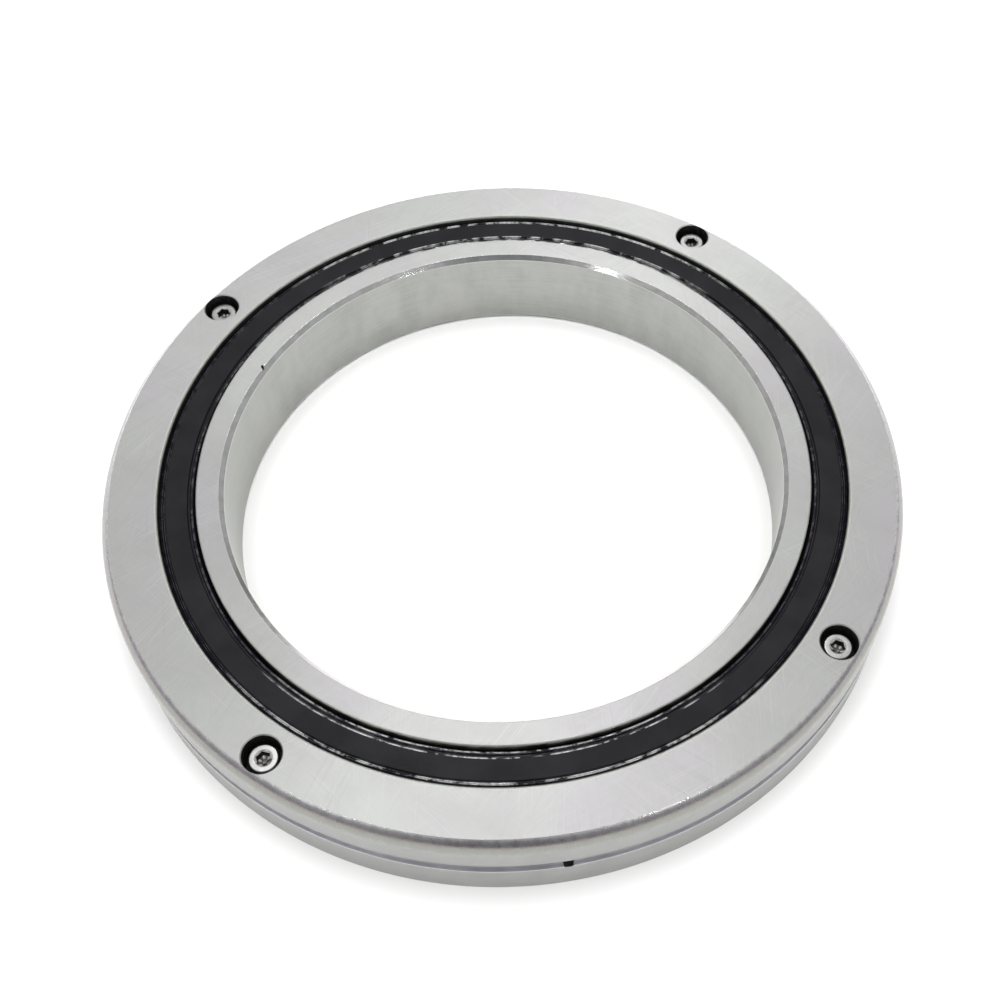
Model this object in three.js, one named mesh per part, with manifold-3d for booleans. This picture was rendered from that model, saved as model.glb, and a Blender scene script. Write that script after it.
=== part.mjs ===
// A crossed roller bearing, 140 mm bore x 200 mm outside x 25 mm wide.
//
// Cylindrical rollers sit in one square raceway, each turned a quarter turn to the next, so that one row
// carries load along the axis both ways, across it, and against tilting. The outer ring is in two halves,
// clamped together by four socket head screws. The inner ring is one piece. A window cage spaces the
// rollers, and a rubber lip seal closes each side.
//
// Millimetres. +Z is the bearing's axis. The origin is the centre of the bottom face.

import * as THREE from 'three';
import { mergeVertices } from 'three/addons/utils/BufferGeometryUtils.js';
import Module from 'manifold-3d';

const wasm = await Module();
wasm.setup();

// ---------------------------------------------------------------- driving dimensions

const boreDiameter = 140;
const width = 25;

const innerWall = 7.88;           // bore to the root of the inner raceway
const boreChamfer = 1;
const upperChamfer = 2.3;         // outer corner of the upper half
const lowerChamfer = 0.5;         // outer corner of the lower half
const edgeBreak = 0.4;            // small chamfers beside the seals

const rollerDiameter = 9;
const rollerEndPlay = 0.4;        // a roller is this much shorter than it is wide
const rollerChamfer = 0.5;
const rollerCount = 40;           // even, because the rollers alternate
const rollerTilt = Math.PI / 4;

const racewayClearance = 0.2;     // roller to raceway, square to the raceway
const rootReachRatio = 0.68;      // pitch circle to raceway root, in roller diameters
const ringGap = 1.6;              // between the shoulders of the two rings

const pocketClearance = 0.25;     // roller to cage
const cageThickness = 1;
const hoopHeight = 1.4;           // left above and below the pockets
const cageEndGap = 0.3;

const sealLandWidth = 6.4;        // inner ring shoulder down to the land that the lip rubs on
const sealSeatWidth = 1.2;       // outer ring shoulder out to the wall of the seal's seat
const sealInset = 1;              // seal face below the ring face
const sealRimDrop = 0.4;
const sealRimWidth = 1;
const sealLipWidth = 2.3;
const sealSeatGap = 0.1;
const sealFloorGap = 0.3;
const lipClearance = 0.3;

const splitGap = 0.1;
const grooveWidth = 3.4;
const grooveDepth = 1;
const oilHoleRadius = 1.5;
const oilHoleCount = 4;
const oilHoleAngle = THREE.MathUtils.degToRad(-92.7);

const screwCount = 4;
const screwAngle = THREE.MathUtils.degToRad(45);
const screwDiameter = 4;
const screwTipChamfer = 0.5;
const headDiameter = 7;
const headHeight = 4;
const headChamfer = 0.35;
const headInset = 2.2;            // top of the head below the ring face
const headSeatGap = 0.1;
const socketAcrossFlats = 3;
const socketDepth = 2;
const screwHoleClearance = 0.3;
const counterboreClearance = 1;
const threadEngagement = 5.7;
const tapRunOut = 1.5;
const screwWall = 1.18;           // raceway root to the screw hole
const rimWall = 1.9;              // counterbore to the outside of the ring

const ringSegments = 60;
const cageSegments = 80;
const rollerSegments = 12;
const pocketSegments = 12;
const screwSegments = 16;
const counterboreSegments = 24;
const oilHoleSegments = 12;

// ---------------------------------------------------------------- what follows from them

const middle = width / 2;
const boreRadius = boreDiameter / 2;
const rollerRadius = rollerDiameter / 2;
const rollerLength = rollerDiameter - rollerEndPlay;

const rootReach = rollerDiameter * rootReachRatio;
const pitchRadius = boreRadius + innerWall + rootReach;
const racewayReach = (rollerRadius + racewayClearance) * Math.SQRT2;
const innerRootRadius = pitchRadius - rootReach;
const outerRootRadius = pitchRadius + rootReach;
const rootHalfHeight = racewayReach - rootReach;
const innerShoulderRadius = pitchRadius - ringGap / 2;
const outerShoulderRadius = pitchRadius + ringGap / 2;
const racewayHalfHeight = racewayReach - ringGap / 2;

const pocketRadius = rollerRadius + pocketClearance;
const pocketLength = rollerLength + 2 * pocketClearance;
const pocketReach = (pocketRadius + pocketLength / 2) * Math.SQRT1_2;
const cageHalfHeight = pocketReach + hoopHeight;
const shoulderHalfHeight = cageHalfHeight + cageEndGap;
const shoulderTop = middle + shoulderHalfHeight;

const sealLandRadius = innerShoulderRadius - sealLandWidth;
const sealSeatRadius = outerShoulderRadius + sealSeatWidth;

const screwHoleRadius = screwDiameter / 2 + screwHoleClearance;
const counterboreRadius = headDiameter / 2 + counterboreClearance;
const screwCircleRadius = outerRootRadius + screwWall + screwHoleRadius;
const outsideRadius = screwCircleRadius + counterboreRadius + rimWall;
const counterboreFloor = width - headInset - headHeight - headSeatGap;
const screwTip = middle - threadEngagement;
const tapBottom = screwTip - tapRunOut;

// ---------------------------------------------------------------- materials

function finish(colour, roughness, metalness) {
  return new THREE.MeshStandardMaterial({ color: colour, roughness, metalness });
}

const groundSteel = finish(0xc9cac8, 0.35, 0.9);
const rollerSteel = finish(0xd6d8da, 0.15, 1);
const screwSteel = finish(0xb9bab8, 0.3, 0.9);
const blackRubber = finish(0x232326, 0.55, 0);
const cagePolyamide = finish(0xd8cfb4, 0.6, 0);

// ---------------------------------------------------------------- solids

/** Revolves [radius, height] points about +Z. A profile that isn't on the axis closes on itself. */
function revolve(profile, segments) {
  const points = profile.map(([radius, height]) => new THREE.Vector2(radius, height));
  const onAxis = profile[0][0] === 0;
  if (!onAxis) points.push(points[0].clone());
  return new THREE.LatheGeometry(points, segments).rotateX(Math.PI / 2);
}

/** The same outline on the other side of the bearing, still running the same way round. */
function mirrored(profile) {
  return profile.map(([radius, height]) => [radius, width - height]).reverse();
}

function toSolid(geometry) {
  const bare = geometry.clone();
  bare.deleteAttribute('normal');
  bare.deleteAttribute('uv');
  const merged = mergeVertices(bare, 1e-4);
  const corners = merged.index.array;
  const triVerts = [];
  for (let i = 0; i < corners.length; i += 3) {
    const [a, b, c] = [corners[i], corners[i + 1], corners[i + 2]];
    if (a !== b && b !== c && c !== a) triVerts.push(a, b, c);
  }
  return new wasm.Manifold(new wasm.Mesh({
    numProp: 3,
    vertProperties: Float32Array.from(merged.attributes.position.array),
    triVerts: Uint32Array.from(triVerts),
  }));
}

function toGeometry(solid) {
  const mesh = solid.getMesh();
  const geometry = new THREE.BufferGeometry();
  geometry.setAttribute('position', new THREE.BufferAttribute(mesh.vertProperties, 3));
  geometry.setIndex(new THREE.BufferAttribute(mesh.triVerts, 1));
  geometry.computeVertexNormals();
  return geometry;
}

/** Cuts every tool out of the blank. */
function cutAway(blank, tools) {
  let solid = toSolid(blank);
  for (const tool of tools) solid = solid.subtract(toSolid(tool));
  return toGeometry(solid);
}

/** A round cutter along +Z between two heights, whose flats, not its corners, lie on the radius. */
function roundCutter(radius, bottom, top, segments) {
  const corner = radius / Math.cos(Math.PI / segments);
  return revolve([[0, bottom], [corner, bottom], [corner, top], [0, top]], segments);
}

/** Copies of a cutter, spaced evenly round the axis, each first moved out to a radius. */
function roundTheAxis(cutter, radius, count, firstAngle) {
  const copies = [];
  for (let i = 0; i < count; i += 1) {
    const angle = firstAngle + (i * 2 * Math.PI) / count;
    copies.push(cutter.clone().translate(radius, 0, 0).rotateZ(angle));
  }
  return copies;
}

// ---------------------------------------------------------------- outer ring

/** Section of the upper half: groove, outside, top face, seal seat, shoulder, raceway, split face. */
function outerHalfProfile(chamfer) {
  return [
    [outsideRadius - grooveDepth, middle + splitGap / 2],
    [outsideRadius - grooveDepth, middle + grooveWidth / 2],
    [outsideRadius, middle + grooveWidth / 2],
    [outsideRadius, width - chamfer],
    [outsideRadius - chamfer, width],
    [sealSeatRadius + edgeBreak, width],
    [sealSeatRadius, width - edgeBreak],
    [sealSeatRadius, shoulderTop],
    [outerShoulderRadius, shoulderTop],
    [outerShoulderRadius, middle + racewayHalfHeight],
    [outerRootRadius, middle + rootHalfHeight],
    [outerRootRadius, middle + splitGap / 2],
  ];
}

/** Oil holes run out along the radius, half in each ring half. */
function oilHoleCutters() {
  const inside = outerRootRadius - rootHalfHeight;
  const hole = roundCutter(oilHoleRadius, inside, outsideRadius, oilHoleSegments)
    .rotateY(Math.PI / 2)
    .translate(0, 0, middle);
  return roundTheAxis(hole, 0, oilHoleCount, oilHoleAngle);
}

function outerRingUpper() {
  const above = width + 1;
  const below = middle - 1;
  const hole = roundCutter(screwHoleRadius, below, above, screwSegments);
  const counterbore = roundCutter(counterboreRadius, counterboreFloor, above, counterboreSegments);
  return cutAway(revolve(outerHalfProfile(upperChamfer), ringSegments), [
    ...roundTheAxis(hole, screwCircleRadius, screwCount, screwAngle),
    ...roundTheAxis(counterbore, screwCircleRadius, screwCount, screwAngle),
    ...oilHoleCutters(),
  ]);
}

function outerRingLower() {
  const tap = roundCutter(screwHoleRadius, tapBottom, middle + 1, screwSegments);
  return cutAway(revolve(mirrored(outerHalfProfile(lowerChamfer)), ringSegments), [
    ...roundTheAxis(tap, screwCircleRadius, screwCount, screwAngle),
    ...oilHoleCutters(),
  ]);
}

// ---------------------------------------------------------------- inner ring

function innerRing() {
  const upperHalf = [
    [innerRootRadius, middle + rootHalfHeight],
    [innerShoulderRadius, middle + racewayHalfHeight],
    [innerShoulderRadius, shoulderTop],
    [sealLandRadius, shoulderTop],
    [sealLandRadius, width - edgeBreak],
    [sealLandRadius - edgeBreak, width],
    [boreRadius + boreChamfer, width],
    [boreRadius, width - boreChamfer],
  ];
  return revolve([...upperHalf, ...mirrored(upperHalf)], ringSegments);
}

// ---------------------------------------------------------------- seals

/** Section of the upper seal: a flat body with a sunk rim, tapering to a lip at the inner ring. */
function sealProfile() {
  const outside = sealSeatRadius - sealSeatGap;
  const inside = sealLandRadius + lipClearance;
  const top = width - sealInset;
  const bottom = shoulderTop + sealFloorGap;
  const thickness = top - bottom;
  return [
    [outside, bottom],
    [outside, top - sealRimDrop],
    [outside - sealRimWidth, top],
    [inside + sealLipWidth, top],
    [inside, bottom + thickness / 2],
    [inside, bottom + thickness / 4],
    [inside + sealLipWidth, bottom],
  ];
}

// ---------------------------------------------------------------- rollers and cage

/** A roller lying along X, centred on the origin. */
function rollerGeometry(radius, length, chamfer, segments) {
  const half = length / 2;
  return revolve([
    [0, -half],
    [radius - chamfer, -half],
    [radius, -half + chamfer],
    [radius, half - chamfer],
    [radius - chamfer, half],
    [0, half],
  ], segments).rotateY(Math.PI / 2);
}

/** Angle round the ring and lean of the roller at an index. Odd and even rollers lean opposite ways. */
function rollerPlace(index) {
  const angle = ((index + 0.5) * 2 * Math.PI) / rollerCount;
  const lean = index % 2 === 0 ? -rollerTilt : rollerTilt;
  return { angle, lean };
}

/** Section of the cage before its pockets are cut: a thin band between the shoulders of the rings. */
function cageProfile() {
  const inside = pitchRadius - cageThickness / 2;
  const outside = pitchRadius + cageThickness / 2;
  const bottom = middle - cageHalfHeight;
  const top = middle + cageHalfHeight;
  return [[inside, bottom], [outside, bottom], [outside, top], [inside, top]];
}

/** Each pocket is a cylinder a little larger than its roller, with the same lean. */
function rollerCage() {
  const half = pocketLength / 2;
  const pocket = roundCutter(pocketRadius, -half, half, pocketSegments).rotateY(Math.PI / 2);
  const pockets = [];
  for (let i = 0; i < rollerCount; i += 1) {
    const { angle, lean } = rollerPlace(i);
    pockets.push(pocket.clone().rotateY(lean).translate(pitchRadius, 0, middle).rotateZ(angle));
  }
  return cutAway(revolve(cageProfile(), cageSegments), pockets);
}

// ---------------------------------------------------------------- screws

/** A socket head cap screw, head up, with the underside of its head at height 0. */
function screwGeometry() {
  const head = headDiameter / 2;
  const shank = screwDiameter / 2;
  const tip = screwTip - counterboreFloor - headSeatGap;
  const blank = revolve([
    [0, tip],
    [shank - screwTipChamfer, tip],
    [shank, tip + screwTipChamfer],
    [shank, 0],
    [head, 0],
    [head, headHeight - headChamfer],
    [head - headChamfer, headHeight],
    [0, headHeight],
  ], screwSegments);
  const socket = roundCutter(socketAcrossFlats / 2, headHeight - socketDepth, headHeight + 1, 6);
  return cutAway(blank, [socket]);
}

// ---------------------------------------------------------------- assembly

const bearing = new THREE.Group();

function add(name, geometry, material) {
  const mesh = new THREE.Mesh(geometry, material);
  mesh.name = name;
  bearing.add(mesh);
  return mesh;
}

add('outer_ring_lower', outerRingLower(), groundSteel);
add('outer_ring_upper', outerRingUpper(), groundSteel);
add('inner_ring', innerRing(), groundSteel);
add('roller_cage', rollerCage(), cagePolyamide);
add('seal_lower', revolve(mirrored(sealProfile()), ringSegments), blackRubber);
add('seal_upper', revolve(sealProfile(), ringSegments), blackRubber);

const rollerShape = rollerGeometry(rollerRadius, rollerLength, rollerChamfer, rollerSegments);
for (let i = 0; i < rollerCount; i += 1) {
  const { angle, lean } = rollerPlace(i);
  const number = String(i + 1).padStart(2, '0');
  const roller = add(`roller_${number}`, rollerShape, rollerSteel);
  roller.position.set(pitchRadius * Math.cos(angle), pitchRadius * Math.sin(angle), middle);
  roller.rotation.set(0, lean, angle, 'ZYX');
}

const screwShape = screwGeometry();
for (let i = 0; i < screwCount; i += 1) {
  const angle = screwAngle + (i * 2 * Math.PI) / screwCount;
  const screw = add(`clamp_screw_${i + 1}`, screwShape, screwSteel);
  screw.position.set(
    screwCircleRadius * Math.cos(angle),
    screwCircleRadius * Math.sin(angle),
    counterboreFloor + headSeatGap,
  );
  screw.rotation.z = angle;
}

export default bearing;
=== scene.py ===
# A crossed roller bearing, dressed around its CAD frame. Lengths are written in millimetres and
# turned into metres by MM. +Z is the bearing's axis, and the bottom face lies on z = 0.

import bmesh
import bpy
import numpy as np
from mathutils import Matrix, Vector


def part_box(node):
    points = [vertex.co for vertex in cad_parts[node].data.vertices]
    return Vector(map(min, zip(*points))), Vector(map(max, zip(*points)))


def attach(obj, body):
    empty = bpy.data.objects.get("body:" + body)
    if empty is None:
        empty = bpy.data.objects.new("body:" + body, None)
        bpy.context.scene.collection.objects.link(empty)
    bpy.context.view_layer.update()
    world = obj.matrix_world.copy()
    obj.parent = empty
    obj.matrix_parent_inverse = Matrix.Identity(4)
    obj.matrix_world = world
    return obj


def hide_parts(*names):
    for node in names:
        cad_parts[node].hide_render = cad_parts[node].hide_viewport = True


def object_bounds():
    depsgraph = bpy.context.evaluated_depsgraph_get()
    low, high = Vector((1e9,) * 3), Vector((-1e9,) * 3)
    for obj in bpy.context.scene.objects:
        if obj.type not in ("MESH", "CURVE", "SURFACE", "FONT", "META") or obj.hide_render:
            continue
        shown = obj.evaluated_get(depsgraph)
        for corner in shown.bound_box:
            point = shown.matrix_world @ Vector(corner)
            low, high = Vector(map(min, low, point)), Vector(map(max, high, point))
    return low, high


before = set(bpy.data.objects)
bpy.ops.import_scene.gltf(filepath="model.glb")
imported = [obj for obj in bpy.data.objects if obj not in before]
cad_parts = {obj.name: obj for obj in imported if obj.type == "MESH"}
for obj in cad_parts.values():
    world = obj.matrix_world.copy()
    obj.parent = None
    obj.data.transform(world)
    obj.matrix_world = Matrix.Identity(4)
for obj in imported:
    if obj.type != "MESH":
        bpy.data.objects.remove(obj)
cad_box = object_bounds()

# ------------------------------------------------------------------------------------------------
# Inner ring. One piece of bearing steel, turned, hardened right through, then ground on its bore,
# its faces and the square raceway. It is pressed onto the shaft and turns with it.

MM = 0.001
BORE_RADIUS = 70
WIDTH = cad_box[1].z / MM
MIDDLE = WIDTH / 2
INNER_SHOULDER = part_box("inner_ring")[1].x / MM
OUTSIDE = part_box("outer_ring_upper")[1].x / MM
SHOULDER_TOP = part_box("seal_upper")[0].z / MM - 0.3
SEAL_LAND = INNER_SHOULDER - 6.4
BORE_CHAMFER = 1.1
RACEWAY_ROOT = 77.88
RACEWAY_HALF_HEIGHT = 5.847
ROOT_HALF_HEIGHT = 0.527


def section(corners, steps=6):
    """A closed outline in metres from corners (radius, height, rounding) in millimetres. A rounding is
    an arc tangent to both sides: middle + start turned by t, for t from one side to the other. One
    more point lies on the flat at each end of the arc, so that the flat shades flat. A corner with no
    rounding is a plain point."""
    points = []
    for k, (radius, height, rounding) in enumerate(corners):
        here = np.array([radius, height], float)
        if rounding == 0:
            points.append(here)
            continue
        before = np.array(corners[k - 1][:2]) - here
        after = np.array(corners[(k + 1) % len(corners)][:2]) - here
        reach = min(np.hypot(*before), np.hypot(*after))
        before, after = before / np.hypot(*before), after / np.hypot(*after)
        half = np.arccos(np.clip(before @ after, -1, 1)) / 2
        tangent = min(rounding / np.tan(half), 0.4 * reach)
        middle = here + (before + after) / np.hypot(*(before + after)) * tangent / np.cos(half)
        start, end = here + before * tangent - middle, here + after * tangent - middle
        turn = np.arctan2(start[0] * end[1] - start[1] * end[0], start @ end)
        t = np.linspace(0, turn, steps + 1)[:, None]
        across = np.array([-start[1], start[0]])
        arc = middle + start * np.cos(t) + across * np.sin(t)
        hold = tangent + min(0.2, 0.08 * reach)
        points += [here + before * hold, *arc, here + after * hold]
    return np.array(points) * MM


def both_sides(upper):
    """The upper half of a section and its mirror image below the middle plane, as one closed outline."""
    return upper + [(radius, WIDTH - height, rounding) for radius, height, rounding in reversed(upper)]


def surface(name, grid, close_rows=False):
    """A piece from grid[row, column] points, a surface of two parameters. Columns wrap round, and with
    close_rows the last row joins the first. Doubles are merged and the faces turned outwards."""
    rows, columns = grid.shape[:2]
    row = np.arange(rows if close_rows else rows - 1)[:, None]
    column = np.arange(columns)[None, :]
    after, beside = (row + 1) % rows, (column + 1) % columns
    quads = np.stack([row * columns + column, row * columns + beside,
                      after * columns + beside, after * columns + column], -1)
    return solid(name, grid.reshape(-1, 3), quads.reshape(-1, 4))


def solid(name, points, quads):
    """A piece from points and faces, with doubles merged, faces outwards and smooth shading that
    stays crisp at edges sharper than 28 degrees."""
    mesh = bpy.data.meshes.new(name)
    mesh.from_pydata(points.tolist(), [], quads.tolist())
    work = bmesh.new()
    work.from_mesh(mesh)
    bmesh.ops.remove_doubles(work, verts=work.verts, dist=1e-7)
    bmesh.ops.recalc_face_normals(work, faces=work.faces)
    work.to_mesh(mesh)
    work.free()
    piece = bpy.data.objects.new(name, mesh)
    bpy.context.scene.collection.objects.link(piece)
    shade(piece)
    return piece


def shade(piece):
    mesh = piece.data
    mesh.polygons.foreach_set("use_smooth", np.ones(len(mesh.polygons), bool))
    mesh.set_sharp_from_angle(angle=np.radians(28))
    mesh.update()


def turned(name, outline, columns=360):
    """A closed outline of (radius, height) carried round the axis: radius (cos a, sin a), height."""
    a = np.arange(columns) * 2 * np.pi / columns
    radius, height = outline[:, :1], outline[:, 1:]
    return surface(name, np.stack([radius * np.cos(a), radius * np.sin(a), height + 0 * a], -1), True)


def cut(piece, cutters):
    """Takes the cutters out of the piece, and removes them."""
    for cutter in cutters:
        take = piece.modifiers.new("cut", "BOOLEAN")
        take.operation, take.solver, take.object = "DIFFERENCE", "EXACT", cutter
    bpy.context.view_layer.update()
    made = bpy.data.meshes.new_from_object(piece.evaluated_get(bpy.context.evaluated_depsgraph_get()))
    piece.modifiers.clear()
    piece.data = made
    for cutter in cutters:
        bpy.data.objects.remove(cutter)
    shade(piece)


def put(tree, kind, inputs=None, **settings):
    """Adds a node. Each input takes a number, a colour or another node's output."""
    node = tree.nodes.new(kind)
    for key, value in settings.items():
        setattr(node, key, value)
    for key, value in (inputs or {}).items():
        if isinstance(value, bpy.types.NodeSocket):
            tree.links.new(value, node.inputs[key])
        else:
            node.inputs[key].default_value = value
    return node


def new_material(name, **constants):
    material = bpy.data.materials.new(name)
    material.use_nodes = True
    tree = material.node_tree
    shader = tree.nodes["Principled BSDF"]
    for key, value in constants.items():
        shader.inputs[key.replace("_", " ")].default_value = value
    place = put(tree, "ShaderNodeTexCoord").outputs["Object"]
    return material, tree, shader, place


def noise(tree, place, size, stretch=(1, 1, 1), turn=0, detail=3, rough=0.55):
    """Noise with features about `size` mm across, drawn out by stretch along each axis."""
    moved = put(tree, "ShaderNodeMapping", {"Vector": place, "Rotation": (0, 0, turn), "Scale": stretch},
                vector_type="TEXTURE")
    made = put(tree, "ShaderNodeTexNoise", {"Vector": moved.outputs[0], "Scale": 1 / (size * MM),
                                            "Detail": detail, "Roughness": rough})
    return made.outputs["Fac"]


def level(tree, value, low, high, to_low, to_high):
    """Carries low..high to to_low..to_high, and stays at the ends outside."""
    return put(tree, "ShaderNodeMapRange", {"Value": value, "From Min": low, "From Max": high,
                                            "To Min": to_low, "To Max": to_high}).outputs[0]


def maths(tree, operation, first, second=0.0):
    return put(tree, "ShaderNodeMath", {0: first, 1: second}, operation=operation).outputs[0]


def blend(tree, share, first, second):
    mix = put(tree, "ShaderNodeMix", {"Factor": share}, data_type="RGBA")
    for socket, value in ((6, first), (7, second)):
        if isinstance(value, bpy.types.NodeSocket):
            tree.links.new(value, mix.inputs[socket])
        else:
            mix.inputs[socket].default_value = (*value, 1)
    return mix.outputs[2]


def relief(tree, shader, height, depth, strength=1.0, under=None):
    """Bump: height 0..1 stands for `depth` mm."""
    made = put(tree, "ShaderNodeBump", {"Height": height, "Distance": depth * MM, "Strength": strength})
    if under is not None:
        tree.links.new(under, made.inputs["Normal"])
    tree.links.new(made.outputs[0], shader.inputs["Normal"])
    return made.outputs[0]


def hairlines(tree, place, turn, gap, threshold):
    """Fine straight scratches in one direction: noise 60 times longer than wide, of which only the
    peaks are kept, in patches where a broad noise is high."""
    lines = noise(tree, place, gap, (60, 1, 1), turn, detail=1)
    patch = noise(tree, place, 22, turn=turn * 3, detail=2)
    kept = level(tree, lines, threshold, threshold + 0.06, 0, 1)
    return maths(tree, "MULTIPLY", kept, level(tree, patch, 0.45, 0.6, 0, 1))


def ground_face():
    """The flat faces: ground on a turning table, so the grain runs round the axis and spreads light
    along the radius. Handling has left faint smudges, rubs and crossing hairlines."""
    material, tree, shader, place = new_material("ground_face_steel", Metallic=1, Anisotropic=0.9,
                                                 Anisotropic_Rotation=0.25)
    grain_way = put(tree, "ShaderNodeTangent", direction_type="RADIAL", axis="Z")
    tree.links.new(grain_way.outputs[0], shader.inputs["Tangent"])
    cloud = noise(tree, place, 30, detail=4)
    tint = blend(tree, level(tree, cloud, 0.4, 0.6, 0, 1), (0.70, 0.715, 0.69), (0.715, 0.70, 0.715))
    grain = noise(tree, place, 0.35, detail=2)
    scratch, rub = 0.0, 0.0
    ways = ((0.3, 0.3, 0.60), (0.75, 0.35, 0.62), (1.35, 0.3, 0.63), (2.2, 0.3, 0.61))
    for turn, gap, threshold in ways:
        scratch = maths(tree, "MAXIMUM", scratch, hairlines(tree, place, turn, gap, threshold))
        rub = maths(tree, "MAXIMUM", rub, hairlines(tree, place, turn + 0.2, 2 * gap, threshold - 0.02))
    smudge = noise(tree, place, 9, (1, 2.2, 1), 0.9, detail=5, rough=0.65)
    tint = blend(tree, level(tree, smudge, 0.45, 0.7, 0, 0.55), tint, (0.63, 0.635, 0.62))
    tint = blend(tree, maths(tree, "MULTIPLY", rub, 0.3), tint, (0.60, 0.60, 0.595))
    tree.links.new(blend(tree, maths(tree, "MULTIPLY", scratch, 0.35), tint, (0.86, 0.86, 0.86)),
                   shader.inputs["Base Color"])
    polish = level(tree, cloud, 0.3, 0.7, 0.29, 0.34)
    rough = maths(tree, "ADD", polish, level(tree, grain, 0.3, 0.7, 0, 0.05))
    tree.links.new(rough, shader.inputs["Roughness"])
    under = relief(tree, shader, grain, 0.004)
    relief(tree, shader, scratch, -0.003, under=under)
    return material


def ground_wall(name, shade_low, shade_high):
    """The bore, the outside and the oil groove: worked round and round, so that their fine lines run
    round the axis, and mottled by handling."""
    material, tree, shader, place = new_material(name, Metallic=1)
    lines = noise(tree, place, 0.25, (40, 40, 1), detail=2)
    cloud = noise(tree, place, 7, (1, 1, 2.2), detail=4)
    tone = blend(tree, level(tree, cloud, 0.35, 0.65, 0, 1), shade_low, shade_high)
    tree.links.new(blend(tree, level(tree, lines, 0.35, 0.65, 0, 0.2), tone, (0.5, 0.5, 0.49)),
                   shader.inputs["Base Color"])
    tree.links.new(level(tree, cloud, 0.3, 0.7, 0.30, 0.42), shader.inputs["Roughness"])
    under = relief(tree, shader, cloud, 0.03)
    relief(tree, shader, lines, 0.003, under=under)
    return material


def turned_edge():
    """Chamfers and roundings: turned, not ground, with a closer polish from the tumbling barrel."""
    material, tree, shader, place = new_material("turned_edge_steel", Metallic=1)
    lines = noise(tree, place, 0.15, (60, 60, 1), detail=2)
    cloud = noise(tree, place, 3, detail=3)
    tone = blend(tree, level(tree, cloud, 0.4, 0.6, 0, 1), (0.66, 0.66, 0.645), (0.74, 0.735, 0.74))
    tree.links.new(tone, shader.inputs["Base Color"])
    tree.links.new(level(tree, cloud, 0.3, 0.7, 0.14, 0.22), shader.inputs["Roughness"])
    relief(tree, shader, lines, 0.002)
    return material


def hollow_painted_shade():
    """Painted shade: near-black steel for the hollows, the counterbores, oil holes, split faces, nick and
    sockets.
    """
    material, tree, shader, place = new_material("hollow_painted_shade_steel", Metallic=0.85)
    cloud = noise(tree, place, 1.2, detail=5)
    speck = noise(tree, place, 0.2, detail=2)
    tone = blend(tree, level(tree, cloud, 0.4, 0.65, 0, 1), (0.035, 0.035, 0.037), (0.085, 0.082, 0.078))
    tree.links.new(tone, shader.inputs["Base Color"])
    tree.links.new(level(tree, speck, 0.3, 0.7, 0.35, 0.55), shader.inputs["Roughness"])
    relief(tree, shader, speck, 0.01)
    return material


def broken_edge():
    """The small edge breaks, stoned by hand after grinding, so that they scatter light a little."""
    material, tree, shader, place = new_material("stoned_edge_steel", Metallic=1)
    cloud = noise(tree, place, 1.5, detail=4)
    tone = blend(tree, level(tree, cloud, 0.35, 0.65, 0, 1), (0.60, 0.64, 0.57), (0.72, 0.75, 0.69))
    tree.links.new(tone, shader.inputs["Base Color"])
    tree.links.new(level(tree, cloud, 0.3, 0.7, 0.32, 0.45), shader.inputs["Roughness"])
    relief(tree, shader, cloud, 0.01)
    return material


# The third of these is painted shade: near-black for the hollows.
FACE, EDGE, HOLLOW_SHADE, BREAK = ground_face(), turned_edge(), hollow_painted_shade(), broken_edge()
# Painted shade: the ground walls are set far darker than the faces, which are the same steel.
BORE_WALL_SHADED = ground_wall("ground_bore_steel_painted_shade", (0.30, 0.31, 0.29), (0.37, 0.375, 0.355))


def finish_ring(piece, wall, special):
    """Gives each face of a ring its finish: by its slope, flat ones are ground faces, upright ones
    ground walls and the rest turned edges. special lists further finishes, each with a function that
    picks its faces from their radius, centre and flatness. A later finish covers an earlier one."""
    mesh = piece.data
    mesh.materials.clear()
    for material in (FACE, wall, EDGE, *[material for material, _ in special]):
        mesh.materials.append(material)
    count = len(mesh.polygons)
    centre, normal = np.zeros(3 * count), np.zeros(3 * count)
    mesh.polygons.foreach_get("center", centre)
    mesh.polygons.foreach_get("normal", normal)
    centre, normal = centre.reshape(-1, 3) / MM, normal.reshape(-1, 3)
    flatness = np.abs(normal[:, 2])
    pick = np.where(flatness > 0.995, 0, np.where(flatness < 0.06, 1, 2))
    radius = np.hypot(centre[:, 0], centre[:, 1])
    for k, (material, chosen) in enumerate(special):
        pick = np.where(chosen(radius, centre, flatness), 3 + k, pick)
    mesh.polygons.foreach_set("material_index", pick.astype(np.int32))
    mesh.update()


inner_ring = turned("inner_ring_ground", section(both_sides([
    (RACEWAY_ROOT, MIDDLE + ROOT_HALF_HEIGHT, 0.2),
    (INNER_SHOULDER, MIDDLE + RACEWAY_HALF_HEIGHT, 0.25),
    (INNER_SHOULDER, SHOULDER_TOP, 0.25),
    (SEAL_LAND, SHOULDER_TOP, 0.3),
    (SEAL_LAND, WIDTH, 0.4),
    (BORE_RADIUS + BORE_CHAMFER, WIDTH, 0.25),
    (BORE_RADIUS, WIDTH - BORE_CHAMFER, 0.25),
])))
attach(inner_ring, "inner_ring")
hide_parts("inner_ring")


def edge_of_land(radius, centre, flatness):
    """The edge between a side face and the land that the seal's lip lies beside."""
    sloped = (flatness > 0.03) & (flatness < 0.999)
    return sloped & (np.abs(radius - SEAL_LAND) < 0.6) & (np.abs(centre[:, 2] - MIDDLE) > MIDDLE - 0.7)


NICK_RADIUS = 71.35
NICK_ANGLE = np.radians(143.1)
NICK_LENGTH = 0.85
NICK_WIDTH = 0.36
NICK_DEPTH = 0.6


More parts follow.
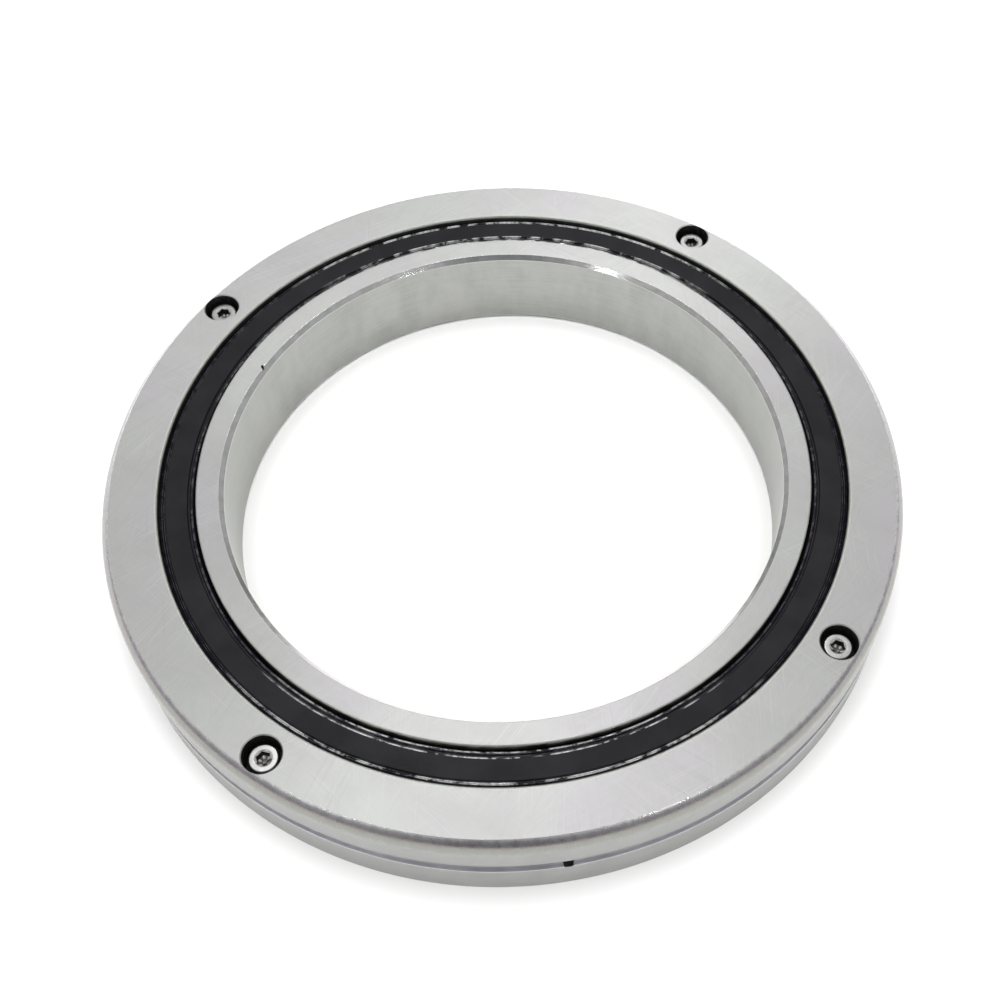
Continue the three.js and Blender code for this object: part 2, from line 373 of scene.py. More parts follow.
def nick_cutter():
    """A blow beside the bore's chamfer, aslant to it: an ellipsoid just under the face, centre + length
    cos b cos a along it + width cos b sin a across it + depth sin b upwards."""
    outwards = np.array([np.cos(NICK_ANGLE), np.sin(NICK_ANGLE), 0])
    round_the_axis = np.cross([0, 0, 1], outwards)
    along, across = (round_the_axis - outwards) / np.sqrt(2), (round_the_axis + outwards) / np.sqrt(2)
    b = np.linspace(-np.pi / 2, np.pi / 2, 13)[:, None, None]
    a = (np.arange(24) * 2 * np.pi / 24)[None, :, None]
    grid = (NICK_LENGTH * np.cos(b) * np.cos(a) * along + NICK_WIDTH * np.cos(b) * np.sin(a) * across
            + NICK_DEPTH * np.sin(b) * np.array([0, 0, 1]))
    return surface("nick", (grid + NICK_RADIUS * outwards + np.array([0, 0, WIDTH - 0.1])) * MM)


def in_nick(radius, centre, flatness):
    """What lies near the nick and below the face or the chamfer."""
    nick = NICK_RADIUS * np.array([np.cos(NICK_ANGLE), np.sin(NICK_ANGLE)])
    skin = WIDTH - np.clip(BORE_RADIUS + BORE_CHAMFER - radius, 0, BORE_CHAMFER)
    near = np.hypot(centre[:, 0] - nick[0], centre[:, 1] - nick[1]) < NICK_LENGTH
    return near & (centre[:, 2] < skin - 0.03) & (centre[:, 2] > MIDDLE)


cut(inner_ring, [nick_cutter()])
# The nick's hollow is painted near-black: painted shade.
finish_ring(inner_ring, BORE_WALL_SHADED, [(BREAK, edge_of_land), (HOLLOW_SHADE, in_nick)])

# ------------------------------------------------------------------------------------------------
# Rollers. Forty short cylinders of bearing steel, superfinished, each turned a quarter turn to the
# next. Every second one leans outwards at its top, and the others lean inwards.

ROLLER_COUNT = 40
ROLLER_RADIUS = 4.5
ROLLER_HALF = 4.3
ROLLER_CORNER = 0.5
ROLLER_CROWN = 0.005
PITCH_RADIUS = 84


def roller_steel():
    material, tree, shader, place = new_material("superfinished_steel", Metallic=1)
    cloud = noise(tree, place, 2, detail=3)
    fine = noise(tree, place, 0.08, detail=2)
    tone = blend(tree, level(tree, cloud, 0.4, 0.6, 0, 1), (0.66, 0.67, 0.68), (0.72, 0.72, 0.72))
    tree.links.new(tone, shader.inputs["Base Color"])
    tree.links.new(level(tree, fine, 0.3, 0.7, 0.07, 0.13), shader.inputs["Roughness"])
    relief(tree, shader, fine, 0.0006)
    return material


def roller(name, centre, across, along, material):
    """A barrel round the unit axis `along`: centre + x along + radius (across cos a + up sin a). Its
    outline is a flat end, a rounded corner and a side that falls away by 5 microns towards the ends."""
    flat = ROLLER_RADIUS - ROLLER_CORNER
    t = np.linspace(0, np.pi / 2, 6)
    x = np.concatenate([[ROLLER_HALF, ROLLER_HALF], ROLLER_HALF - ROLLER_CORNER + ROLLER_CORNER * np.cos(t),
                        [ROLLER_HALF * 0.6, ROLLER_HALF * 0.2]])
    radius = np.concatenate([[0, flat - 0.3], flat + ROLLER_CORNER * np.sin(t),
                             [ROLLER_RADIUS, ROLLER_RADIUS]])
    x, radius = np.concatenate([x, -x[::-1]]), np.concatenate([radius, radius[::-1]])
    radius = radius - ROLLER_CROWN * (x / ROLLER_HALF) ** 4 * (radius > flat)
    a = np.arange(48) * 2 * np.pi / 48
    up = np.cross(along, across)
    grid = (centre + MM * (x[:, None, None] * along + radius[:, None, None]
                           * (np.cos(a)[None, :, None] * across + np.sin(a)[None, :, None] * up)))
    piece = surface(name, grid)
    piece.data.materials.append(material)
    return piece


BRIGHT_ROLLER = roller_steel()
for k in range(ROLLER_COUNT):
    node = f"roller_{k + 1:02d}"
    low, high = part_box(node)
    centre = np.array((low + high) / 2)
    outwards = np.array([centre[0], centre[1], 0]) / np.hypot(centre[0], centre[1])
    round_the_axis = np.cross([0, 0, 1], outwards)
    lean = 1 if k % 2 == 0 else -1
    along = (outwards + lean * np.array([0, 0, 1])) / np.sqrt(2)
    barrel = roller(f"{node}_barrel", centre, round_the_axis, along, BRIGHT_ROLLER)
    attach(barrel, node)
    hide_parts(node)

# ------------------------------------------------------------------------------------------------
# Cage. One thin band of glass-filled polyamide, moulded with a window for each roller. It floats
# between the rings and keeps the rollers apart.

CAGE_THICKNESS = 1
CAGE_HALF_HEIGHT = (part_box("roller_cage")[1].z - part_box("roller_cage")[0].z) / 2 / MM
POCKET_CLEARANCE = 0.25


def polyamide():
    material, tree, shader, place = new_material("moulded_polyamide", Subsurface_Weight=0.15,
                                                 Subsurface_Scale=0.001)
    fibre = noise(tree, place, 0.3, (1, 1, 6), detail=3)
    cloud = noise(tree, place, 9, detail=2)
    tone = blend(tree, level(tree, cloud, 0.35, 0.65, 0, 1), (0.66, 0.59, 0.42), (0.72, 0.66, 0.50))
    tree.links.new(blend(tree, level(tree, fibre, 0.55, 0.7, 0, 0.4), tone, (0.82, 0.78, 0.66)),
                   shader.inputs["Base Color"])
    tree.links.new(level(tree, fibre, 0.3, 0.7, 0.38, 0.5), shader.inputs["Roughness"])
    relief(tree, shader, fibre, 0.01)
    return material


def cage_band(name):
    """One window after another. Round a window, a column runs from the window's rim to the edge of its
    cell, in and out through the band's thickness. At radius pitch + d the rim is where the cylinder of
    the leaning roller meets the band: t = p cos u, s = sqrt 2 p sin u + lean d, kept to the pocket's
    length, s + lean d between its ends. The cell's edge is the rectangle that the same column points at."""
    reach = ROLLER_RADIUS + POCKET_CLEARANCE
    length = (ROLLER_HALF + POCKET_CLEARANCE) * np.sqrt(2)
    half_width = np.pi / ROLLER_COUNT * PITCH_RADIUS
    side = np.linspace(-1, 1, 13)[:-1]
    one = np.ones(12)
    edge_t = np.concatenate([side, one, -side, -one]) * half_width
    edge_s = np.concatenate([-one, side, one, -side]) * CAGE_HALF_HEIGHT
    u = np.arctan2(edge_s / (reach * np.sqrt(2)), edge_t / reach)
    points, quads = [], []
    for k in range(ROLLER_COUNT):
        lean = 1 if k % 2 == 0 else -1
        rows = []
        for depth, shares in ((0.5, (1, 0.6, 0.25, 0)), (0, (0,)), (-0.5, (0, 0.25, 0.6, 1))):
            d = depth * CAGE_THICKNESS
            rim_t = reach * np.cos(u)
            rim_s = np.sqrt(2) * reach * np.sin(u) + lean * d
            rim_s = np.clip(rim_s, -lean * d - length, length - lean * d)
            for share in shares:
                t, s = rim_t + share * (edge_t - rim_t), rim_s + share * (edge_s - rim_s)
                a = (k + 0.5) * 2 * np.pi / ROLLER_COUNT + t / PITCH_RADIUS
                rows.append(np.stack([(PITCH_RADIUS + d) * np.cos(a), (PITCH_RADIUS + d) * np.sin(a),
                                      MIDDLE + s], -1) * MM)
        grid = np.array(rows)
        count = grid.shape[1]
        row, column = np.arange(len(rows))[:, None], np.arange(count)[None, :]
        after, beside = (row + 1) % len(rows), (column + 1) % count
        faces = np.stack([row * count + column, row * count + beside,
                          after * count + beside, after * count + column], -1)
        on_hoop = np.isclose(np.abs(edge_s), CAGE_HALF_HEIGHT)
        keep = np.ones(faces.shape[:2], bool)
        keep[-1] = on_hoop & np.roll(on_hoop, -1)
        quads.append(faces[keep] + k * grid.shape[0] * count)
        points.append(grid.reshape(-1, 3))
    return solid(name, np.concatenate(points), np.concatenate(quads))


cage = cage_band("roller_cage_band")
cage.data.materials.append(polyamide())
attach(cage, "cage")
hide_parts("roller_cage")

# ------------------------------------------------------------------------------------------------
# Outer ring. Two halves of bearing steel that meet at the bottom of the oil groove. The upper half
# is counterbored for four screws, the lower half is tapped. Oil holes are drilled through both beside
# the split. Inside, the counterbores and the holes are painted near-black as painted shade.

OUTER_SHOULDER = PITCH_RADIUS + 0.8
OUTER_ROOT = 2 * PITCH_RADIUS - RACEWAY_ROOT
SEAL_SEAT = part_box("seal_upper")[1].x / MM + 0.1
HALF_SPLIT = 0.05
GROOVE_HALF = 1.7
GROOVE_DEPTH = 1
CORNER_RADIUS = 4.5
CORNER_HEIGHT = CORNER_RADIUS * np.sin(np.pi / 3)
SCREW_COUNT = 4
COUNTERBORE_RADIUS = 4.5
SCREW_HOLE_RADIUS = 2.3
OIL_HOLE_RADIUS = 1.6
OIL_HOLE_HEIGHT = MIDDLE - 0.55
OIL_HOLE_ANGLE = np.radians(-92.7)
OIL_HOLE_COUNT = 4


def round_cutter(name, outline, place, turn=None, columns=64):
    """A cutter turned from (radius, height) points about its own axis, then turned and put in place."""
    a = np.arange(columns) * 2 * np.pi / columns
    radius, height = np.array(outline, float).T[:, :, None] * MM
    grid = np.stack([radius * np.cos(a), radius * np.sin(a), height + 0 * a], -1)
    if turn is not None:
        grid = grid @ np.array(turn).T
    return surface(name, grid + np.array(place) * MM)


def outer_half(corner):
    """The upper half's section, from the groove round to the split face, with its own outer corner."""
    return [
        (OUTSIDE - GROOVE_DEPTH, MIDDLE + HALF_SPLIT, 0.08),
        (OUTSIDE - GROOVE_DEPTH, MIDDLE + GROOVE_HALF, 0.3),
        (OUTSIDE, MIDDLE + GROOVE_HALF, 0.18),
        *corner,
        (SEAL_SEAT, WIDTH, 0.6),
        (SEAL_SEAT, SHOULDER_TOP, 0.3),
        (OUTER_SHOULDER, SHOULDER_TOP, 0.15),
        (OUTER_SHOULDER, MIDDLE + RACEWAY_HALF_HEIGHT, 0.2),
        (OUTER_ROOT, MIDDLE + ROOT_HALF_HEIGHT, 0.2),
        (OUTER_ROOT, MIDDLE + HALF_SPLIT, 0.08),
    ]


screw_boxes = [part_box(f"clamp_screw_{k + 1}") for k in range(SCREW_COUNT)]
screw_places = [np.array((low + high) / 2)[:2] / MM for low, high in screw_boxes]
HEAD_HEIGHT = 4
HEAD_SEAT_GAP = 0.1
COUNTERBORE_FLOOR = screw_boxes[0][1].z / MM - HEAD_HEIGHT - HEAD_SEAT_GAP
TAP_RUN_OUT = 1.5
RIM = 0.25


def oil_hole_cutters():
    """Cylinders along the radius, drilled from the groove through to the raceway."""
    cutters = []
    for k in range(OIL_HOLE_COUNT):
        a = OIL_HOLE_ANGLE + k * 2 * np.pi / OIL_HOLE_COUNT
        outwards = [np.cos(a), np.sin(a), 0]
        turn = np.array([np.cross(outwards, [0, 0, 1]), [0, 0, 1], outwards]).T
        outline = [(0, 85), (OIL_HOLE_RADIUS, 85), (OIL_HOLE_RADIUS, 102), (0, 102)]
        cutters.append(round_cutter("oil_hole", outline, (0, 0, OIL_HOLE_HEIGHT), turn, 48))
    return cutters


# The upper half's outer corner is an arc, tangent to the outside, that meets the face at 60 degrees:
# radius - r (1 - cos t), height + r sin t. The lower half's is only broken.
slope = np.radians(np.linspace(0, 54, 10))
arc_radius = OUTSIDE - CORNER_RADIUS * (1 - np.cos(slope))
arc_height = WIDTH - CORNER_HEIGHT + CORNER_RADIUS * np.sin(slope)
upper_corner = [(r, z, 0) for r, z in zip(arc_radius, arc_height)]
upper_corner.append((OUTSIDE - CORNER_RADIUS / 2, WIDTH, 0.15))
lower_corner = [(OUTSIDE, WIDTH, 0.45)]

upper = turned("outer_ring_upper_half", section(outer_half(upper_corner)))
cutters = oil_hole_cutters()
counterbore = [
    (0, 5), (SCREW_HOLE_RADIUS, 5), (SCREW_HOLE_RADIUS, COUNTERBORE_FLOOR),
    (COUNTERBORE_RADIUS, COUNTERBORE_FLOOR), (COUNTERBORE_RADIUS, WIDTH - RIM),
    (COUNTERBORE_RADIUS + 1.6 * RIM, WIDTH + 0.6 * RIM), (0, WIDTH + 0.6 * RIM),
]
for x, y in screw_places:
    cutters.append(round_cutter("counterbore", counterbore, (x, y, 0)))
cut(upper, cutters)

lower_half = [(radius, WIDTH - height, rounding) for radius, height, rounding in outer_half(lower_corner)]
lower = turned("outer_ring_lower_half", section(lower_half))
TAP_BOTTOM = screw_boxes[0][0].z / MM - TAP_RUN_OUT
cutters = oil_hole_cutters()
tapped_hole = [
    (0, TAP_BOTTOM - 1.2), (SCREW_HOLE_RADIUS, TAP_BOTTOM), (SCREW_HOLE_RADIUS, MIDDLE + 1),
    (0, MIDDLE + 1),
]
for x, y in screw_places:
    cutters.append(round_cutter("tapped_hole", tapped_hole, (x, y, 0)))
cut(lower, cutters)


def corner_painted_reflection():
    """The turned corner: its base colour runs by height from the ground wall's tone, through dark bronze
    and violet bands of painted reflection, to a white painted highlight line along its top edge."""
    material, tree, shader, place = new_material("corner_painted_reflection_steel", Metallic=1)
    high = put(tree, "ShaderNodeSeparateXYZ", {"Vector": place}).outputs["Z"]
    share = level(tree, high, (WIDTH - CORNER_HEIGHT) * MM, WIDTH * MM, 0, 1)
    cloud = noise(tree, place, 2, (1, 1, 2), detail=4)
    share = maths(tree, "ADD", share, level(tree, cloud, 0.3, 0.7, -0.02, 0.02))
    tones = put(tree, "ShaderNodeValToRGB", {"Fac": share})
    # Painted reflection and highlight, set by height: dark bands low on the rounding, a white line at its
    # top.
    stops = [(0.0, (0.31, 0.315, 0.30)), (0.35, (0.28, 0.295, 0.27)), (0.6, (0.30, 0.285, 0.265)),
             (0.82, (0.40, 0.385, 0.405)), (0.92, (0.58, 0.57, 0.585)), (0.97, (0.95, 0.95, 0.95))]
    while len(tones.color_ramp.elements) < len(stops):
        tones.color_ramp.elements.new(0.5)
    for element, (at, tone) in zip(tones.color_ramp.elements, stops):
        element.position, element.color = at, (*tone, 1)
    lines = noise(tree, place, 0.2, (40, 40, 1), detail=2)
    tree.links.new(tones.outputs["Color"], shader.inputs["Base Color"])
    tree.links.new(level(tree, cloud, 0.3, 0.7, 0.22, 0.34), shader.inputs["Roughness"])
    relief(tree, shader, lines, 0.003)
    return material


# Painted shade: the outside wall is a still darker copy of the bore's ground steel.
OUTSIDE_WALL_SHADED = ground_wall("ground_outside_steel_painted_shade", (0.29, 0.29, 0.285), (0.35, 0.35, 0.345))
GROOVE = ground_wall("turned_groove_steel", (0.55, 0.55, 0.58), (0.66, 0.66, 0.70))
CORNER = corner_painted_reflection()


def on_corner(radius, centre, flatness):
    """The upper half's outer rounding."""
    outer = (radius > OUTSIDE - CORNER_RADIUS / 2 - 0.1) & (flatness > 0.03) & (flatness < 0.995)
    return outer & (centre[:, 2] > MIDDLE + GROOVE_HALF + 1)


def in_groove(radius, centre, flatness):
    """The bottom and both walls of the oil groove."""
    return (radius > OUTSIDE - GROOVE_DEPTH - 0.1) & (np.abs(centre[:, 2] - MIDDLE) < GROOVE_HALF + 0.05)


def to_screw(centre):
    """How far a face is from the axis of the nearest clamp screw."""
    return np.min([np.hypot(centre[:, 0] - x, centre[:, 1] - y) for x, y in screw_places], axis=0)


def at_break(radius, centre, flatness):
    """The rims of the counterbores and the edges beside the seals."""
    on_rim = np.abs(to_screw(centre) - COUNTERBORE_RADIUS - RIM / 2) < RIM / 2 + 0.01
    rim = on_rim & (centre[:, 2] > WIDTH - RIM)
    sloped = (flatness > 0.03) & (flatness < 0.999)
    seat = (np.abs(radius - SEAL_SEAT - 0.3) < 0.5) & (np.abs(centre[:, 2] - MIDDLE) > MIDDLE - 0.7)
    return sloped & (rim | seat)


def in_shaded_hollow(radius, centre, flatness):
    """The oil holes, the split faces, and what lies within a counterbore below its rim."""
    inside = (radius > OUTER_SHOULDER) & (radius < OUTSIDE - GROOVE_DEPTH - 0.1)
    between = inside & (np.abs(centre[:, 2] - MIDDLE) < GROOVE_HALF)
    past = np.arctan2(centre[:, 1], centre[:, 0]) - OIL_HOLE_ANGLE
    share = 2 * np.pi / OIL_HOLE_COUNT
    beside = radius * np.sin(np.mod(past + share / 2, share) - share / 2)
    from_drill = np.hypot(beside, centre[:, 2] - OIL_HOLE_HEIGHT)
    drilled = (from_drill < OIL_HOLE_RADIUS + 0.02) & (radius > OUTER_SHOULDER)
    bored = (to_screw(centre) < COUNTERBORE_RADIUS + 0.02) & (centre[:, 2] < WIDTH - RIM)
    return between | drilled | (bored & inside)


for half, node in ((upper, "outer_ring_upper"), (lower, "outer_ring_lower")):
    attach(half, "outer_ring")
    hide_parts(node)
    # The oil holes, split faces and counterbores take the near-black painted shade.
    finish_ring(half, OUTSIDE_WALL_SHADED, [(CORNER, on_corner), (GROOVE, in_groove),
                                     (HOLLOW_SHADE, in_shaded_hollow), (BREAK, at_break)])

# ------------------------------------------------------------------------------------------------
# Seals. Two rings of black nitrile rubber, moulded with a flat body, a sunk rim that snaps into the
# outer ring, and a soft lip that lies beside the land of the inner ring. They are wiped with grease.

SEAL_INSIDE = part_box("seal_upper")[0].z / MM
GLINT_SIDES_TURN = np.radians(13.13)


def black_rubber():
    """Matt moulded rubber, with a smear of wet grease along the lip and along the rim, painted darker along
    both as painted shade, and painted glints there on the sides nearest and farthest from the camera."""
    material, tree, shader, place = new_material("black_nitrile_rubber", Specular_IOR_Level=0.28,
                                                 Coat_IOR=1.47, Coat_Roughness=0.05)
    split = put(tree, "ShaderNodeSeparateXYZ", {"Vector": place})
    x, y = split.outputs["X"], split.outputs["Y"]
    square = maths(tree, "ADD", maths(tree, "MULTIPLY", x, x), maths(tree, "MULTIPLY", y, y))
    radius = maths(tree, "SQRT", square)
    lip = level(tree, radius, 78.2 * MM, 78.8 * MM, 1, 0)
    rim = level(tree, radius, 84.3 * MM, 84.8 * MM, 0, 1)
    smear = noise(tree, place, 2.2, detail=4)
    wet = maths(tree, "MULTIPLY", maths(tree, "ADD", lip, rim), level(tree, smear, 0.45, 0.56, 0, 1))
    cloud = noise(tree, place, 12, detail=4)
    tone = blend(tree, level(tree, cloud, 0.4, 0.62, 0, 1), (0.005, 0.005, 0.006), (0.009, 0.009, 0.011))
    # Painted shade: darker bands along the lip and the rim, beside the rings' walls.
    tone = blend(tree, maths(tree, "ADD", lip, rim), tone, (0.004, 0.003, 0.006))
    dry = level(tree, noise(tree, place, 0.5, detail=3), 0.3, 0.7, 0.36, 0.5)
    rough = maths(tree, "MULTIPLY", dry, level(tree, wet, 0, 1, 1, 0.3))
    tree.links.new(rough, shader.inputs["Roughness"])
    tree.links.new(wet, shader.inputs["Coat Weight"])
    line = 0.0
    for middle_radius, half in ((84.9, 0.18), (79.0, 0.15), (77.6, 0.18)):
        off = maths(tree, "ABSOLUTE", maths(tree, "SUBTRACT", radius, middle_radius * MM))
        line = maths(tree, "MAXIMUM", line, level(tree, off, half * MM, 2.2 * half * MM, 1, 0))
    # Painted glints: broken white metallic lines at the lip and rim, kept to the camera's near and far
    # sides.
    turned_back = put(tree, "ShaderNodeMapping", {"Vector": place, "Rotation": (0, 0, GLINT_SIDES_TURN)})
    split = put(tree, "ShaderNodeSeparateXYZ", {"Vector": turned_back.outputs[0]})
    front_back = maths(tree, "ABSOLUTE", split.outputs["Y"])
    near_and_far_sides = level(tree, front_back, 58 * MM, 72 * MM, 0, 1)
    broken = level(tree, noise(tree, place, 3.5, detail=5, rough=0.65), 0.44, 0.62, 0, 0.8)
    painted_glint = maths(tree, "MULTIPLY", maths(tree, "MULTIPLY", line, near_and_far_sides), broken)
    tree.links.new(painted_glint, shader.inputs["Metallic"])
    tone = blend(tree, painted_glint, tone, (0.95, 0.95, 0.95))
    tree.links.new(tone, shader.inputs["Base Color"])
    under = relief(tree, shader, noise(tree, place, 0.3, detail=2), 0.006)
    ripple = maths(tree, "MULTIPLY", wet, noise(tree, place, 1.5, detail=2))
    relief(tree, shader, ripple, 0.05, under=under)
    return material


def seal_section():
    """Radius, depth below the ring's face and rounding, from the rim inwards and back underneath."""
    outside = SEAL_SEAT - 0.1
    depth = WIDTH - SEAL_INSIDE
    return [
        (outside, 1.75, 0.2), (outside - 0.35, 1.55, 0.1), (outside - 0.75, 1.15, 0.15),
        (outside - 1.15, 1.5, 0.12), (outside - 1.45, 1.5, 0.12), (outside - 1.6, 1.0, 0.2),
        (79.0, 1.0, 0.15), (78.8, 1.5, 0.1), (78.4, 1.5, 0.1), (78.15, 1.1, 0.15),
        (77.6, 1.2, 0.2), (77.2, 1.9, 0.15), (76.9, 2.35, 0.1),
        (77.3, 2.7, 0.15), (78.9, 3.0, 0.3), (78.9, depth, 0.2), (outside, depth, 0.3),
    ]


RUBBER = black_rubber()
for side, node in ((1, "seal_upper"), (-1, "seal_lower")):
    corners = [(r, WIDTH - d if side == 1 else d, c) for r, d, c in seal_section()]
    seal = turned(f"{node}_rubber", section(corners, steps=4))
    seal.data.materials.append(RUBBER)
    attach(seal, "outer_ring")
    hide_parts(node)

# ------------------------------------------------------------------------------------------------
# Clamp screws. Four M4 socket head cap screws, cold-headed and rolled, that hold the two halves of
# the outer ring together until the bearing is bolted up. Their heads sit below the ring's face.

HEAD_RADIUS = 3.5
SHANK_RADIUS = 2
THREAD_PITCH = 0.7
THREAD_DEPTH = 0.4
SOCKET_FLATS = 3
SOCKET_DEPTH = 2


def screw_steel(name, dull, bright):
    material, tree, shader, place = new_material(name, Metallic=1)
    cloud = noise(tree, place, 1.5, detail=4)
    fine = noise(tree, place, 0.12, detail=2)
    tone = blend(tree, level(tree, cloud, 0.4, 0.6, 0, 1), dull, bright)
    tree.links.new(tone, shader.inputs["Base Color"])
    tree.links.new(level(tree, fine, 0.3, 0.7, 0.2, 0.32), shader.inputs["Roughness"])
    relief(tree, shader, fine, 0.002)
    return material


def socket_screw(name, x, y, turn):
    """Rows run from the middle of the socket, up its six walls, over the head, down its knurled side
    and the threaded shank to the tip. Socket: apothem / cos(a folded into 60 degrees). Knurl: radius
    - 0.07 |sin 18 a|. Thread: radius - depth |triangle wave of (z / pitch - a / 2 pi)|."""
    seat = COUNTERBORE_FLOOR + HEAD_SEAT_GAP
    top = seat + HEAD_HEIGHT
    tip = screw_boxes[0][0].z / MM
    a = np.arange(144) * 2 * np.pi / 144
    folded = np.mod(a + np.pi / 6, np.pi / 3) - np.pi / 6
    hexagon = SOCKET_FLATS / 2 / np.cos(folded)
    floor = top - SOCKET_DEPTH
    socket = [(0, floor - 0.45), (0.5, floor - 0.3), (0.9, floor - 0.02), (0.985, floor),
              (1, floor + 0.08), (1, (floor + top) / 2), (1, top - 0.32), (1.02, top - 0.24)]
    rows = [(share * hexagon, height + 0 * a) for share, height in socket]
    rim = SOCKET_FLATS / 2 / np.cos(np.pi / 6) + 0.04
    crown = [(rim, top - 0.16), (rim + 0.22, top - 0.03), (rim + 0.3, top), (rim + 0.4, top),
             (2.95, top), (3.08, top - 0.01), (3.2, top - 0.06), (3.34, top - 0.16),
             (3.44, top - 0.32), (3.49, top - 0.5)]
    rows += [(r + 0 * a, z + 0 * a) for r, z in crown]
    knurl = HEAD_RADIUS - 0.07 * np.abs(np.sin(18 * a))
    rows += [(knurl, z + 0 * a) for z in (top - 0.8, top - 2.2, seat + 0.35)]
    rows += [(r + 0 * a, z + 0 * a) for r, z in ((3.42, seat + 0.2), (3.3, seat), (2.1, seat))]
    for z in np.arange(seat - 0.5, tip + 0.5, -THREAD_PITCH / 5):
        wave = np.abs(np.mod(z / THREAD_PITCH - a / (2 * np.pi), 1) * 2 - 1)
        rows.append((SHANK_RADIUS - THREAD_DEPTH * wave, z + 0 * a))
    rows += [(r + 0 * a, z + 0 * a) for r, z in ((1.45, tip + 0.1), (1.3, tip), (0, tip))]
    radius, height = np.array([r for r, _ in rows]), np.array([z for _, z in rows])
    grid = np.stack([x + radius * np.cos(a + turn), y + radius * np.sin(a + turn), height], -1) * MM
    return surface(name, grid)


CAP_SCREW = screw_steel("cold_headed_steel", (0.72, 0.72, 0.71), (0.82, 0.82, 0.82))
# Painted shade: the socket's floor takes a dark copy of the screw's steel, and its walls the hollows'
# near-black.
SOCKET = screw_steel("socket_steel_painted_shade", (0.10, 0.095, 0.09), (0.2, 0.19, 0.18))
for k, (x, y) in enumerate(screw_places):
    screw = socket_screw(f"clamp_screw_{k + 1}_cap", x, y, 0.4 + 0.9 * k)
    for material in (CAP_SCREW, HOLLOW_SHADE, SOCKET):
        screw.data.materials.append(material)
    mesh = screw.data
    middle = np.zeros(3 * len(mesh.polygons))
    mesh.polygons.foreach_get("center", middle)
    middle = middle.reshape(-1, 3) / MM
    away = np.hypot(middle[:, 0] - x, middle[:, 1] - y)
    above = middle[:, 2] - COUNTERBORE_FLOOR
    socket_wall = (away < 1.8) & (above > 2.0) & (above < 3.75)
    socket_floor = (away < 1.1) & (above > 1.5) & (above < 2.2)
    mesh.polygons.foreach_set("material_index", np.where(socket_floor, 2, socket_wall).astype(np.int32))
    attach(screw, "outer_ring")
    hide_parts(f"clamp_screw_{k + 1}")

# ------------------------------------------------------------------------------------------------
# Floor, light and camera. A pale table in a soft, even studio, with a bright diffuser leaning behind
# the bearing and a dark stand behind the camera, which looks down on the bearing from the front.

VIEW_TURN = np.radians(-13.13)


def pale_floor():
    material, tree, shader, place = new_material("pale_floor", Roughness=0.9, Specular_IOR_Level=0.1)
    cloud = noise(tree, place, 120, detail=2)
    tone = blend(tree, cloud, (0.90, 0.90, 0.895), (0.93, 0.93, 0.925))
    tree.links.new(tone, shader.inputs["Base Color"])
    return material


ring = np.array([0, 0.4, 2.5])[:, None]
a = np.arange(64) * 2 * np.pi / 64
floor = surface("floor", np.stack([ring * np.cos(a), ring * np.sin(a), 0 * ring * a - 0.00005], -1))
floor.data.flip_normals()
floor.data.materials.append(pale_floor())

world = bpy.data.worlds.new("studio")
world.use_nodes = True
bpy.context.scene.world = world
tree = world.node_tree
towards = put(tree, "ShaderNodeTexCoord").outputs["Generated"]
turned_back = put(tree, "ShaderNodeMapping", {"Vector": towards, "Rotation": (0, 0, -VIEW_TURN)})
split = put(tree, "ShaderNodeSeparateXYZ", {"Vector": turned_back.outputs[0]})
ramp = put(tree, "ShaderNodeValToRGB", {"Fac": split.outputs["Z"]})
stops = [(0.0, 0.42), (0.2, 0.45), (0.45, 0.46), (0.75, 0.46), (0.93, 0.50), (1.0, 0.6)]
while len(ramp.color_ramp.elements) < len(stops):
    ramp.color_ramp.elements.new(0.5)
for element, (at, bright) in zip(ramp.color_ramp.elements, stops):
    element.position, element.color = at, (bright, bright, bright, 1)
behind = level(tree, split.outputs["Y"], 0.0, 0.25, 0, 1)
leaning = maths(tree, "SUBTRACT", maths(tree, "MULTIPLY", split.outputs["Y"], 0.38), 0.23)
beside = maths(tree, "ABSOLUTE", maths(tree, "SUBTRACT", split.outputs["X"], leaning))
diffuser = maths(tree, "MULTIPLY", behind, level(tree, beside, 0.08, 0.22, 1, 0))
diffuser = maths(tree, "MULTIPLY", diffuser, level(tree, split.outputs["Y"], 0.40, 0.70, 1, 0.30))
ahead = level(tree, split.outputs["Y"], -0.30, -0.10, 1, 0)
aside = level(tree, maths(tree, "ABSOLUTE", split.outputs["X"]), 0.12, 0.42, 1, 0)
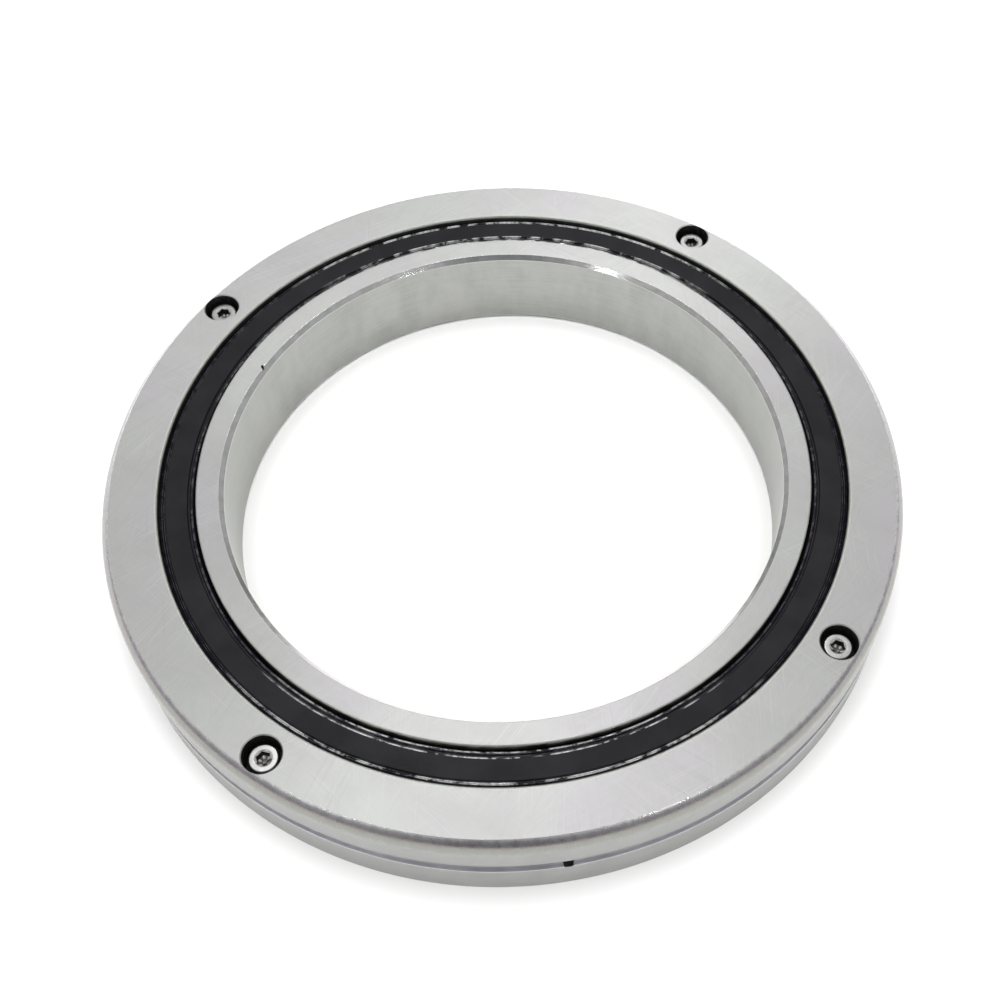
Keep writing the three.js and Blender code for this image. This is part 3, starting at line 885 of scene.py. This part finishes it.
tripod = maths(tree, "MULTIPLY", ahead, aside)
sky = blend(tree, maths(tree, "MULTIPLY", diffuser, 0.8), ramp.outputs["Color"], (1.95, 1.95, 1.95))
sky = blend(tree, maths(tree, "MULTIPLY", tripod, 0.72), sky, (0.16, 0.155, 0.17))
tree.links.new(sky, tree.nodes["Background"].inputs["Color"])


def lamp(name, azimuth, elevation, away, size, power, reflected=True):
    """A square soft light that looks at the bearing. Azimuth 0 is on the camera's side."""
    a, e = np.radians(azimuth) + VIEW_TURN, np.radians(elevation)
    place = Vector((np.sin(a) * np.cos(e), -np.cos(a) * np.cos(e), np.sin(e))) * away
    data = bpy.data.lights.new(name, "AREA")
    data.energy, data.size = power, size
    light = bpy.data.objects.new(name, data)
    light.location = place
    light.rotation_euler = place.to_track_quat("Z", "Y").to_euler()
    light.visible_glossy = reflected
    bpy.context.scene.collection.objects.link(light)


lamp("overhead_fill", 0, 89, 1.2, 1.2, 20, reflected=False)
lamp("left_spark", -40, 42, 0.9, 0.03, 0.12)
lamp("right_spark", 38, 40, 0.9, 0.03, 0.12)
lamp("far_spark", 180, 62, 0.9, 0.03, 0.12)

elevation, roll, distance = np.radians(56.071), np.radians(1.028), 0.359055
target = Vector((0.019634, 0.006880, 0))
back = Vector((0, -np.cos(elevation), np.sin(elevation)))
right, upwards = Vector((1, 0, 0)), Vector((0, np.sin(elevation), np.cos(elevation)))
rolled_right = np.cos(roll) * right + np.sin(roll) * upwards
rolled_up = -np.sin(roll) * right + np.cos(roll) * upwards
pose = Matrix((rolled_right, rolled_up, back)).transposed().to_4x4()
pose.translation = target + back * distance
camera = bpy.data.objects.new("camera", bpy.data.cameras.new("camera"))
camera.matrix_world = Matrix.Rotation(VIEW_TURN, 4, "Z") @ pose
camera.data.lens, camera.data.sensor_width = 47.915, 36
camera.data.shift_x, camera.data.shift_y = -0.0828, -0.0050
bpy.context.scene.collection.objects.link(camera)
bpy.context.scene.camera = camera
bpy.context.scene.view_settings.view_transform = "Standard"
